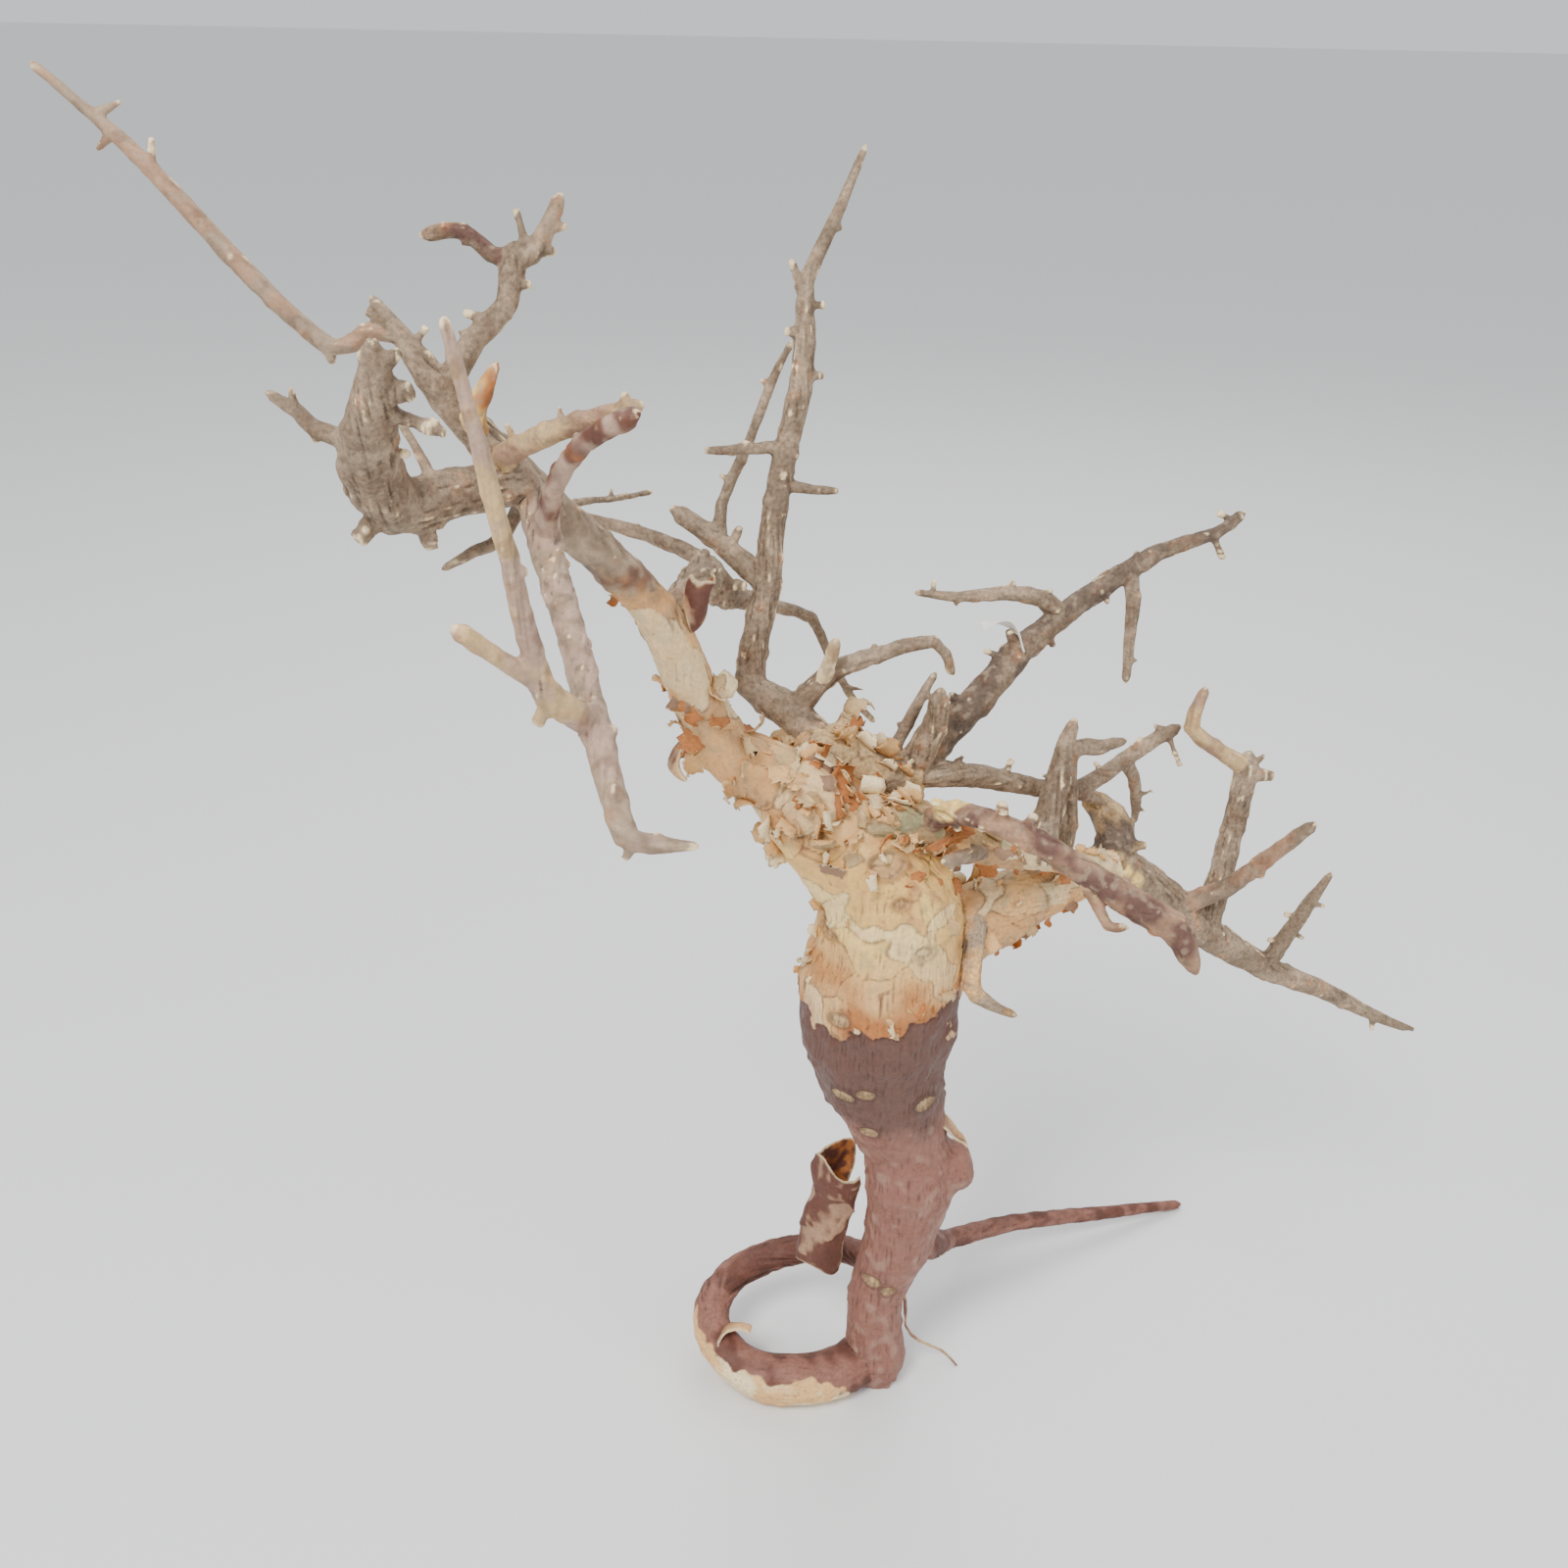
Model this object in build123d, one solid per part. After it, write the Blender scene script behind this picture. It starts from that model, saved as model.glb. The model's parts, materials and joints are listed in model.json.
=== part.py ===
"""Bare tabletop tree: a swollen trunk on a looped root and a tail root, with a crown of broken twigs.

Frame: origin at the centre of the trunk's sole, +Z up, +X to the tree's right and +Y to its back.
Every limb is its own solid. It leaves its carrier at a share of the carrier's length, its base is cut to
the carrier's surface, and a round tenon on that base fills a socket in the carrier.
"""

from build123d import *
from dataclasses import dataclass, field
import math
import os

# Driving dimensions, in millimetres and degrees
TRUNK_SETBACK = 4.0        # how far the trunk's middle line stands behind the centre of its sole
LOOP_CENTRE = (-29, 8)     # middle of the looped root, seen from above
LOOP_HALF_WIDTH = 26.5
LOOP_HALF_DEPTH = 19.0
LOOP_RADIUS = 8.0          # looped root where it lies on the table
LOOP_END_RADIUS = 4.4      # looped root where it enters the trunk's back
LOOP_FIRST, LOOP_LIFT, LOOP_LAST = 25, 110, 345    # angles where the loop starts, leaves the table and ends
LOOP_RISE = 30.0           # height gained from the table to the trunk's back
LOOP_STEP = 20             # degrees between stations of the loop
TENON_SHARE = 0.5          # tenon radius over the radius of the limb it carries
TENON_LEAST = 0.6          # smallest tenon radius
TENON_BACK = 0.7           # how far a butt tenon goes back, in limb radii
TENON_DEPTH = 1.1          # how far a side tenon's root stands in from the carrier's skin, in tenon radii
TENON_REACH = 1.6          # length of a side tenon's pin before it is clipped, in carrier radii
TENON_SPARE = 2.0          # added to both, in millimetres
SPAN_STEPS = 2             # sections per run of a limb
KNOB_TIP_SHARE = 0.55      # radius of a snapped knob's end over its base
ROUNDING = 0.35            # how far a limb's tip dome stands out, in tip radii
DOME_SINK = 0.2            # how far the dome starts inside the tip, in tip radii
DOME_BASE_SHARE = 0.97     # radius at the dome's start over the tip's
DOME_END_SHARE = 0.35      # radius at the dome's end over the tip's
LEAN_IN_SHARE = 0.25       # share of the trunk's height over which it sets back
BARK_THICK = 0.8
PAPER_THICK = 0.4


@dataclass
class Limb:
    """A limb that grows from its carrier in runs.

    at: share of the carrier's length where it leaves. base: radius there.
    runs: (right, back, up, radius) from one bend to the next, with the radius at its far end.
    knobs: (share of this limb's length, right, back, up, radius) of each snapped side stub.
    butt: the limb carries straight on from the carrier's end. lies: its tip rests on the table.
    """

    name: str
    carrier: str
    at: float
    base: float
    runs: list
    knobs: list = field(default_factory=list)
    butt: bool = False
    lies: bool = False


# Trunk from just under the table up, as (height, lean to the right, radius); the table cuts its sole flat
TRUNK_PROFILE = [
    (-1, 0, 6.5), (4, 0, 8.5), (10, 0, 9.7), (34, -1, 8.6), (56, 5, 11.5), (80, 8, 14.3), (96, 5, 13),
    (122, -3, 19), (137, -5, 23.3), (154, -5, 23.8), (168, -3, 21.4), (187, -5, 19.4), (200, -17, 16),
    (210, -27, 13.5), (219, -36, 10.4)]
TRUNK_KNOBS = [(0.36, 19, 0, 4, 12), (0.05, 4, -7, 2, 5)]

ROOTS = [
    Limb("root_tail", "trunk", 0.22, 5.4, [
        (15, 20, -15, 4.6), (9, 21, -16, 3.5), (26, 14, -4, 3), (30, 12, -6, 2.6), (36, 15, -8, 1.7)],
        knobs=[(0.66, 2, -1, 1, 3)], lies=True),
    Limb("rootlet", "trunk", 0.16, 0.7, [
        (9, 3, -6, 0.6), (1, 0, -14, 0.6), (5, 0, -7, 0.6), (8, 2, -6, 0.6), (5, -4, -3, 0.6)], lies=True)]

LEFT_LIMBS = [
    Limb("limb_left", "trunk", 1, 10.4, [
        (-15, -2, 11, 8), (-9, -3, 19, 6.6), (-6, -4, 18, 6.4), (-6, -3, 10, 5.4), (-10, -6, 13, 5.1),
        (-11, -5, 13, 5), (-11, -4, 14, 4.4)], knobs=[(0.3, -12, 6, 2, 1.6)], butt=True),
    Limb("limb_left_end", "limb_left", 1, 4.4, [(-11, 0, 12, 3.7), (-6, 1, 9, 3), (-9, 2, 12, 1.6)],
         knobs=[(0.85, -6, 1, 3, 1.8), (0.7, 4, 0, 5, 1.3)], butt=True),
    Limb("twig_long", "limb_left_end", 0.8, 2.4, [
        (-8, 1, 0, 2.2), (-9, 2, -4, 2.1), (-20, 5, 17, 2.2), (-20, 5, 21, 1.9), (-13, 3, 11, 1.4),
        (-12, 4, 9, 1.1)],
        knobs=[(0.17, 0, 0, -4, 1.6), (0.68, 1, 0, 7, 1.1), (0.84, 7, 0, 3, 1.3), (0.79, -4, 0, -4, 1.2)]),
    Limb("antler", "limb_left_end", 0.42, 3.2, [(8, 4, 12, 2.7), (7, 2, 7, 2.6), (2, 2, 11, 2.7)],
         knobs=[(0.55, -6, 0, 2, 1.3), (0.8, 5, 0, 1, 1.5), (0.6, 4, 0, 0, 1.3), (0.4, -4, 0, 2, 1.2)]),
    Limb("antler_left", "antler", 0.97, 2.4, [(-5, 1, 1, 2), (-6, 0, 5, 1.8), (-8, 0, -1, 1.7)],
         knobs=[(0.6, 0, 0, -3, 1.4)]),
    Limb("antler_right", "antler", 0.97, 2.5, [(4, 1, 1, 2.4), (4, 0, 6, 2.1), (3, 0, 6, 1.5)],
         knobs=[(0.2, -2, 0, 10, 1.4), (0.3, 5, 0, 0, 1.6), (0.6, 5, 0, 1, 1.3)]),
    Limb("stub_peeled", "limb_left_end", 0.1, 2.8, [(-1, -5, 6, 2.7), (3, -1, 6, 2.3), (3, 0, 6, 1.1)]),
    Limb("branch_hook", "limb_left", 0.92, 5.2, [
        (-14, -15, 1, 5.6), (-10, -12, 0, 6.6), (-3, -9, 12, 6.8), (3, -8, 10, 5.6), (3, -5, 9, 4.2),
        (1, -3, 8, 2.6)],
        knobs=[(0.15, -4, -6, -3, 4.2), (0.46, -8, -4, -8, 3.2), (0.36, 3, -4, -10, 3), (0.88, 8, -2, 1, 3.6),
               (0.95, 6, -2, 4, 2.4), (0.84, 15, -2, -5, 2), (0.66, 9, -4, 1, 1.4)]),
    Limb("branch_orange", "limb_left", 0.97, 3, [
        (2, -12, 5, 2.8), (12, -12, 8, 2.6), (10, -8, 5, 2.3), (11, -8, 5, 1.8)],
        knobs=[(0.3, -2, 0, 6, 1.2), (0.6, 0, 0, 5, 1), (0.93, 1, -1, 4, 1.3)]),
    Limb("branch_front", "limb_left", 0.89, 4.8, [
        (6, -22, -10, 3.8), (9, -28, -9, 3.2), (7, -25, -8, 3.3), (7, -20, -12, 2.7), (3, -3, -3, 2.4),
        (12, -3, 1, 1)],
        knobs=[(0.68, 4, -1, 1, 1.8), (0.9, -2, 0, -4, 1.6)]),
    Limb("twig_through", "branch_hook", 0.3, 1.5, [(-3, 2, 8, 1.2), (-5, 2, 8, 0.9)]),
    Limb("twig_hook_left", "branch_hook", 0.68, 2.6, [(-11, 0, 4, 1.9), (-4, 2, 3, 1.6), (-6, 2, 3, 1.2)],
         knobs=[(0.72, -1, 0, 5, 1.1), (0.5, 0, 0, -3, 1.2)]),
    Limb("twig_front_knob", "branch_front", 0.15, 2.6, [
        (4, -11, 16, 2.3), (9, -14, 14, 2.2), (11, -10, 8, 2.4)],
         knobs=[(0.65, 0, 0, 4, 1.4), (0.95, 3, -1, 3, 1.8)]),
    Limb("twig_front_tall", "branch_front", 0.66, 3.2, [
        (-7, -10, 9, 3), (-2, -5, 10, 2.3), (-2, -7, 20, 1.9), (-3, -5, 22, 1.7), (-4, -4, 24, 1.1)],
        knobs=[(0.5, 3, 0, 1, 1.4), (0.16, -3, -1, -5, 2.2)]),
    Limb("twig_front_left", "twig_front_tall", 0.2, 2.2, [(-7, -8, 9, 1.7), (-6, -5, 7, 1.9)]),
    Limb("twig_side", "limb_left", 0.8, 1.5, [(1, 7, 3, 1.1), (8, 11, -2, 0.9), (9, 11, -1, 0.8)],
         knobs=[(0.6, 0, 0, 3, 0.6)]),
    Limb("twig_underhook", "limb_left", 0.91, 2, [(-6, -3, -12, 1.7), (-7, -3, -3, 1.5), (-7, -1, -4, 1)])]

UPPER_LIMBS = [
    Limb("limb_right_upper", "trunk", 0.93, 9, [
        (-1, 8, 13, 8.2), (3, 5, 3, 7.6), (13, 4, -8, 7), (13, 4, -3, 6.2)], knobs=[(0.5, 2, 4, 11, 4)]),
    Limb("branch_level", "limb_right_upper", 1, 4.4, [
        (19, 5, -3, 3.5), (19, 5, -6, 2.7), (11, 2, -2, 2.5), (10, 1, -4, 1.1)],
        knobs=[(0.45, 2, 0, 7, 1.6), (0.15, 5, 0, 6, 1.3)], butt=True),
    Limb("stub_cut", "limb_right_upper", 0.96, 4.6, [(6, -2, 15, 3.7), (1, -2, 10, 2.9)]),
    Limb("branch_high", "limb_right_upper", 0.98, 5, [
        (8, 7, 8, 4.8), (12, 6, 11, 4.6), (11, 8, 11, 4.2), (13, 7, 9, 3.5), (16, 6, 10, 3.1),
        (13, 4, 7, 2.5), (17, 4, 5, 1.8), (7, 2, 5, 1.6)],
        knobs=[(0.2, -6, -2, 5, 2.3), (0.38, -4, -1, 7, 2), (0.35, -8, 0, 3, 1.3), (0.46, 3, -1, -5, 1.8),
               (0.72, 0, 0, 5, 1.4), (0.92, 4, -1, -7, 1.2), (0.98, -5, 0, 2, 1.1), (0.63, 2, -1, -5, 1.2)]),
    Limb("twig_forked", "limb_right_upper", 0.8, 2.4, [
        (3, 2, 6, 2), (4, 3, 7, 1.8), (4, 3, 8, 1.5), (3, 1, 5, 1.1)],
        knobs=[(0.75, 5, 0, 1, 0.9), (0.45, -3, 0, 1, 1)]),
    Limb("twig_high_left", "branch_high", 0.51, 3.2, [
        (-6, -2, 6, 2.6), (-11, -4, 3, 2.2), (-15, -4, 0, 1.6), (-12, -3, 2, 1)],
        knobs=[(0.9, 0, 0, 4, 0.9), (0.4, 0, 0, 4, 1.3), (0.15, 1, 0, 4, 1.3), (0.75, 0, 0, -3, 1)]),
    Limb("twig_high_down", "branch_high", 0.705, 2.6, [(2, -1, -9, 2.2), (0, -1, -8, 1.9), (0, -2, -16, 1.4)],
         knobs=[(0.85, 3, 0, 1, 1)]),
    Limb("twig_fork_right", "branch_level", 0.83, 2.8, [(10, 5, 4, 2.4), (11, 4, 7, 2.4), (10, 3, 5, 1.9)],
         knobs=[(0.95, -5, 0, 2, 1.2), (0.93, 4, -4, -9, 1.1), (0.65, 0, 0, 4, 1.1), (0.3, -3, 0, 4, 1.1)]),
    Limb("twig_hang", "twig_fork_right", 0.5, 2.2, [(4, 2, -6, 2), (2, 1, -8, 1.8), (1, 2, -9, 1)],
         knobs=[(0.6, 5, 0, 2, 1), (0.75, 3, 0, -2, 0.9)])]

LEADER_LIMBS = [
    Limb("leader", "limb_right_upper", 0.42, 5.4, [
        (-13, 4, 11, 5), (-9, 3, 5, 4.6), (1, 1, 14, 3.9), (3, 2, 14, 3.8), (1, 2, 16, 3.4), (3, 2, 19, 3.4),
        (4, 2, 18, 3.1), (1, 2, 17, 2.8), (0, 1, 11, 2.1), (7, 2, 15, 1.7), (7, 3, 17, 0.9)],
        knobs=[(0.55, -22, -2, -1, 2), (0.49, 16, -2, -1, 2), (0.76, -4, -1, 12, 1.8), (0.72, -5, 0, 1, 1.8),
               (0.76, 5, 0, 1, 1.4), (0.66, 6, 0, 0, 1.8), (0.88, 3, 0, 0, 1.3)]),
    Limb("leader_side", "leader", 0.33, 3.4, [(-13, 6, 10, 2.9), (-12, 4, 7, 2.4)],
         knobs=[(0.45, 3, 0, 7, 1.8)]),
    Limb("twig_back_tall", "leader_side", 0.55, 2.1, [
        (0, 5, 10, 1.7), (7, 6, 15, 1.5), (6, 4, 16, 1.3), (5, 2, 10, 1)],
        knobs=[(0.3, -3, 0, 2, 0.9), (0.8, -3, 0, 1, 0.9)]),
    Limb("branch_back", "limb_left", 0.48, 5.4, [
        (8, 14, 7, 5), (2, 10, -1, 5), (3, 9, -8, 4.4), (6, 12, -6, 3)],
         knobs=[(0.45, 0, 0, 8, 2.4), (0.6, 9, -2, 0, 2.2)]),
    Limb("twig_back_long", "branch_back", 1, 2.6, [
        (9, 8, -5, 2), (11, 7, -6, 1.7), (5, 3, -12, 1.4), (7, 2, -14, 1.3), (8, 2, -10, 0.9)],
        knobs=[(0.78, 6, 0, -1, 0.9)], butt=True),
    Limb("twig_back_straight", "branch_back", 0.5, 2.8, [(-2, 10, 1, 2.3), (-16, 9, 4, 2), (-23, 6, 4, 1.4)],
         knobs=[(0.6, 0, 0, 3, 0.9)]),
    Limb("twig_arched", "leader", 0.08, 3.6, [
        (10, 2, 12, 3), (14, 5, 4, 2.3), (16, 4, 3, 1.9), (6, 2, -10, 1.2)],
         knobs=[(0.5, 0, 0, 4, 1.3)]),
    Limb("spur_cream", "twig_arched", 0.2, 2.2, [(2, -3, 6, 2), (2, -1, 8, 1.6)])]

LOWER_LIMBS = [
    Limb("limb_right_low", "trunk", 0.885, 8, [
        (7, -6, 12, 6.6), (14, 2, -3, 6), (16, 3, -8, 5.4), (16, 5, -6, 4.4), (25, 8, -7, 2.4)]),
    Limb("limb_right", "trunk", 0.72, 14, [(24, 8, 4, 12), (13, 6, 4, 10), (16, 6, 4, 7.6), (16, 5, 3, 6.8)]),
    Limb("stub_tall", "limb_right_low", 0.74, 5, [
        (1, 0, 10, 4.3), (3, 3, 13, 3.3), (1, 2, 9, 2.5), (2, 1, 7, 1.8)],
         knobs=[(0.6, -5, 0, 1, 0.9)]),
    Limb("twig_low_left", "limb_right_low", 0.56, 2.6, [(-5, -8, 2, 2.2), (-9, -10, 3, 1.7)],
         knobs=[(0.9, 0, -1, -3, 1)]),
    Limb("branch_torn", "limb_right_low", 0.33, 3.2, [
        (5, -12, 10, 3), (9, -10, 3, 3.1), (13, -5, -4, 3.3), (12, -4, -6, 3.6), (13, -4, -7, 4.1),
        (10, -3, -5, 4), (5, -1, -8, 2.9), (2, 0, -4, 1.6)],
        knobs=[(0.35, -1, 0, 7, 2), (0.4, 3, 2, 5, 2), (0.17, -5, -1, 4, 1.8), (0.15, 3, -4, -3, 1.6)]),
    Limb("twig_torn", "branch_torn", 0.57, 2.2, [(5, -4, -8, 1.6), (3, -3, -5, 1.5), (4, -1, 0, 1.1)]),
    Limb("branch_low", "limb_right", 1, 6.8, [
        (17, 4, -14, 7), (19, 5, -16, 5), (21, 6, -15, 3.8), (21, 5, -11, 3), (21, 5, -13, 2),
        (17, 4, -9, 1.2)],
        knobs=[(0.86, 1, 0, -6, 1.2)], butt=True),
    Limb("stump", "limb_right", 0.93, 6, [(6, 6, 6, 6.2), (-2, 6, 6, 5.4), (-6, 5, 4, 3)],
         knobs=[(0.35, 9, -2, 1, 2.4)]),
    Limb("stub_twisted", "limb_right", 0.7, 4.6, [
        (4, 4, 22, 4), (-1, 1, 13, 3.4), (2, 1, 8, 2.8), (8, 2, 0, 2.2), (7, 2, 1, 1.2)],
        knobs=[(0.7, -1, 0, 6, 1.6)]),
    Limb("spur_droop", "limb_right", 0.42, 4.2, [
        (-4, -10, 3, 3.6), (-1, -7, -3, 3.2), (0, -2, -13, 2.8), (5, -1, -5, 2), (8, 0, -4, 1.1)]),
    Limb("branch_post", "branch_low", 0.3, 4.6, [
        (3, 2, 14, 4), (2, 2, 15, 3.5), (2, 2, 15, 3.3), (1, 2, 10, 3.6)],
         knobs=[(0.95, 8, -2, 0, 2.6), (0.97, 5, 0, 5, 1.3), (0.25, -5, -1, 1, 1.3)]),
    Limb("twig_post_top", "branch_post", 0.98, 3, [(-9, -1, 6, 2.4), (-10, -1, 8, 2.4), (2, -1, 12, 1.6)]),
    Limb("twig_rise", "branch_low", 0.2, 3.6, [
        (5, -3, 5, 3.2), (9, -3, 7, 2.7), (8, -7, 14, 2.4), (8, -7, 14, 1.9)],
         knobs=[(0.62, 0, -1, -5, 1.8)]),
    Limb("twig_low_up", "branch_low", 0.51, 2.8, [(7, 1, 14, 2.5), (4, 1, 8, 2.2), (6, 2, 10, 1.1)],
         knobs=[(0.55, -5, 0, 1, 1.1), (0.4, 5, 0, -3, 1.2), (0.7, 5, 0, -1, 1.1), (0.25, -4, 0, 2, 1)])]

LIMBS = [*ROOTS, *LEFT_LIMBS, *UPPER_LIMBS, *LEADER_LIMBS, *LOWER_LIMBS]


@dataclass
class Curl:
    """A loose curled strip: its carrier, place, turns about X, Y and Z, radius, arc, width and thickness."""

    name: str
    carrier: str
    place: tuple
    turns: tuple
    radius: float
    arc: float
    width: float
    thick: float = BARK_THICK


CURLS = [
    Curl("bark_roll", "trunk", (-16, 11, 62), (0, 8, 60), 9, 250, 42),
    Curl("bark_flap_trunk", "trunk", (19, 2, 96), (90, 0, 20), 9, 80, 6),
    Curl("bark_flake_loop", "root_loop", (-47, -2, 16), (70, 0, 30), 5, 150, 10),
    Curl("bark_curl_foot", "limb_left", (-60, 2, 224), (80, 20, 0), 6, 230, 7),
    Curl("bark_curl_top", "limb_left", (-60, -4, 272), (0, 25, 200), 4, 200, 20),
    Curl("paper_scrap", "branch_high", (27, 45, 243), (90, 0, 10), 9, 110, 6, PAPER_THICK)]


def blend(a, b, share):
    """The number part-way from a to b."""
    return a + (b - a) * share


def trunk_route():
    """The trunk's middle line, leaning back off its sole over the first stations."""
    lean_in = LEAN_IN_SHARE * TRUNK_PROFILE[-1][0]
    return [(lean, TRUNK_SETBACK * max(0, min(1, height / lean_in)), height, radius)
            for height, lean, radius in TRUNK_PROFILE]


def loop_route():
    """The looped root: an oval seen from above that lies on the table and then climbs to the trunk's back."""
    route = []
    for angle in range(LOOP_FIRST, LOOP_LAST + 1, LOOP_STEP):
        climb = max(0, angle - LOOP_LIFT) / (LOOP_LAST - LOOP_LIFT)
        radius = blend(LOOP_RADIUS, LOOP_END_RADIUS, math.sqrt(climb))
        x = LOOP_CENTRE[0] + LOOP_HALF_WIDTH * math.cos(math.radians(angle))
        y = LOOP_CENTRE[1] - LOOP_HALF_DEPTH * math.sin(math.radians(angle))
        route.append((x, y, LOOP_RADIUS + LOOP_RISE * climb, radius))
    return route


def place_at(route, share):
    """The point a share of the way along a route, and the radius there."""
    lengths = [math.dist(a[:3], b[:3]) for a, b in zip(route, route[1:])]
    left = share * sum(lengths)
    for start, end, length in zip(route, route[1:], lengths):
        if left <= length:
            return tuple(blend(a, b, left / length) for a, b in zip(start, end))
        left -= length
    return route[-1]


def limb_route(limb, carrier_route):
    """A limb's bends, from the carrier's middle line outwards."""
    x, y, z, _ = place_at(carrier_route, limb.at)
    route = [(x, y, z, limb.base)]
    for right, back, up, radius in limb.runs:
        x, y, z = x + right, y + back, z + up
        route.append((x, y, z, radius))
    if limb.lies:
        route[-1] = (x, y, radius, radius)
    return route


def smooth_route(route):
    """Catmull-Rom stations along a route, as (point, tangent, radius)."""
    points = [Vector(*stop[:3]) for stop in route]
    radii = [stop[3] for stop in route]
    padded = [points[0] * 2 - points[1], *points, points[-1] * 2 - points[-2]]
    stations = []
    for span in range(len(points) - 1):
        p0, p1, p2, p3 = padded[span:span + 4]
        leave, arrive = (p2 - p0) * 0.5, (p3 - p1) * 0.5
        steps = range(SPAN_STEPS + (span == len(points) - 2))
        for t in (step / SPAN_STEPS for step in steps):
            place = (p1 * (2 * t**3 - 3 * t**2 + 1) + leave * (t**3 - 2 * t**2 + t)
                     + p2 * (3 * t**2 - 2 * t**3) + arrive * (t**3 - t**2))
            slope = (p1 * (6 * t**2 - 6 * t) + leave * (3 * t**2 - 4 * t + 1)
                     + p2 * (6 * t - 6 * t**2) + arrive * (3 * t**2 - 2 * t))
            stations.append((place, slope.normalized(), blend(radii[span], radii[span + 1], t)))
    return stations


def tube(stations):
    """A closed ruled skin through a round section at each station, without twist."""
    side = stations[0][1].cross(Vector(0.3, 0.5, 0.8)).normalized()
    sections = []
    for place, along, radius in stations:
        side = (side - along * side.dot(along)).normalized()
        sections.append(Plane(origin=place, x_dir=side, z_dir=along) * Circle(radius))
    return loft(sections, ruled=True).solid()


def above_table(shape):
    """A shape cut flat where it meets the table."""
    return largest(split(shape, bisect_by=Plane.XY, keep=Keep.TOP))


def largest(shape):
    """The biggest solid of a shape."""
    return max(shape.solids(), key=lambda solid: solid.volume)


def tip_dome(stations):
    """A short blunt cone that rounds off a limb's free end."""
    place, along, radius = stations[-1]
    height = radius * (1 + ROUNDING)
    return Plane(origin=place - along * (radius * DOME_SINK), z_dir=along) * Cone(
        radius * DOME_BASE_SHARE, radius * DOME_END_SHARE, height, align=(Align.CENTER, Align.CENTER, Align.MIN))


def knob_cone(root, reach, radius):
    """A snapped side stub, from the limb's middle line outwards."""
    return Plane(origin=root, z_dir=reach.normalized()) * Cone(
        radius, radius * KNOB_TIP_SHARE, reach.length, align=(Align.CENTER, Align.CENTER, Align.MIN))


def wood(route, knobs, domed):
    """A limb's whole shape, from its carrier's heart to its tip."""
    stations = smooth_route(route)
    body = tube(stations)
    if domed:
        body = body + tip_dome(stations)
    for share, right, back, up, radius in knobs:
        root = Vector(*place_at(route, share)[:3])
        body = body + knob_cone(root, Vector(right, back, up), radius)
    body = largest(body)
    return above_table(body) if body.bounding_box().min.Z < 0 else body


def tenon_pin(route, carrier_radius, butt):
    """The round pin that holds a limb in its carrier, before it is clipped to the carrier."""
    start, ahead = Vector(*route[0][:3]), Vector(*route[1][:3])
    along = (ahead - start).normalized()
    base = route[0][3]
    radius = max(TENON_LEAST, TENON_SHARE * base)
    if butt:
        origin, length = start - along * (TENON_BACK * base), TENON_BACK * base
    else:
        sunk = max(0, carrier_radius - TENON_DEPTH * radius - TENON_SPARE)
        origin, length = start + along * sunk, TENON_REACH * carrier_radius + TENON_SPARE - sunk
    return Plane(origin=origin, z_dir=along) * Cylinder(
        radius, length, align=(Align.CENTER, Align.CENTER, Align.MIN))


def boxes_meet(one, other):
    """Whether two shapes' bounding boxes overlap."""
    a, b = one.bounding_box(), other.bounding_box()
    return all(low < high for low, high in (
        (a.min.X, b.max.X), (b.min.X, a.max.X), (a.min.Y, b.max.Y), (b.min.Y, a.max.Y),
        (a.min.Z, b.max.Z), (b.min.Z, a.max.Z)))


def cut_clear(shape, whole):
    """A shape with every wooden piece already in place cut away from it."""
    for other in whole.values():
        if boxes_meet(shape, other):
            shape = largest(shape - other)
    return shape


def generations(name):
    """How many limbs lie between a limb and the trunk."""
    carriers = {limb.name: limb.carrier for limb in LIMBS}
    count = 0
    while name != "trunk":
        name = carriers[name]
        count += 1
    return count


def add_limb(name, carrier, route, body, butt, shapes, whole, routes):
    """Cuts a limb to what is in place, gives it its tenon and drills the carrier for it."""
    start = Vector(*route[0][:3])
    near = min(routes[carrier], key=lambda stop: (Vector(*stop[:3]) - start).length)
    tenon = largest(tenon_pin(route, near[3], butt) & shapes[carrier])
    rest = cut_clear(body, whole)
    shapes[name] = largest(rest + tenon)
    shapes[carrier] = largest(shapes[carrier] - tenon)
    whole[name] = body
    routes[name] = route


def build_tree():
    """Every wooden piece by name."""
    routes = {"trunk": trunk_route()}
    shapes = {"trunk": wood(routes["trunk"], TRUNK_KNOBS, False)}
    whole = dict(shapes)
    loop = loop_route()
    add_limb("root_loop", "trunk", loop, wood(loop, [], False), False, shapes, whole, routes)
    carries_on = {limb.carrier for limb in LIMBS if limb.butt}
    for limb in sorted(LIMBS, key=lambda limb: generations(limb.name)):
        route = limb_route(limb, routes[limb.carrier])
        body = wood(route, limb.knobs, limb.name not in carries_on)
        add_limb(limb.name, limb.carrier, route, body, limb.butt, shapes, whole, routes)
    return shapes, whole


def curled_strip(curl, whole):
    """A strip of bark or paper bent round its own axis, cut clear of the wood."""
    section = Plane.XZ * Pos(curl.radius - curl.thick / 2, 0) * Rectangle(curl.thick, curl.width)
    strip = revolve(section, Axis.Z, curl.arc)
    return cut_clear(largest(Location(curl.place, curl.turns) * strip), whole)


if __name__ == "__main__":
    os.makedirs("parts", exist_ok=True)
    tree, whole_limbs = build_tree()
    for curl in CURLS:
        tree[curl.name] = curled_strip(curl, whole_limbs)
    for name, shape in tree.items():
        export_step(shape, f"parts/{name}.step")
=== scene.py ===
"""Looks of the bare tabletop tree: one wooden skin grown over the solids and split by limb."""

import json
import math
import random

import bpy
import numpy as np
from mathutils import Matrix, Vector, kdtree, noise


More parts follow.
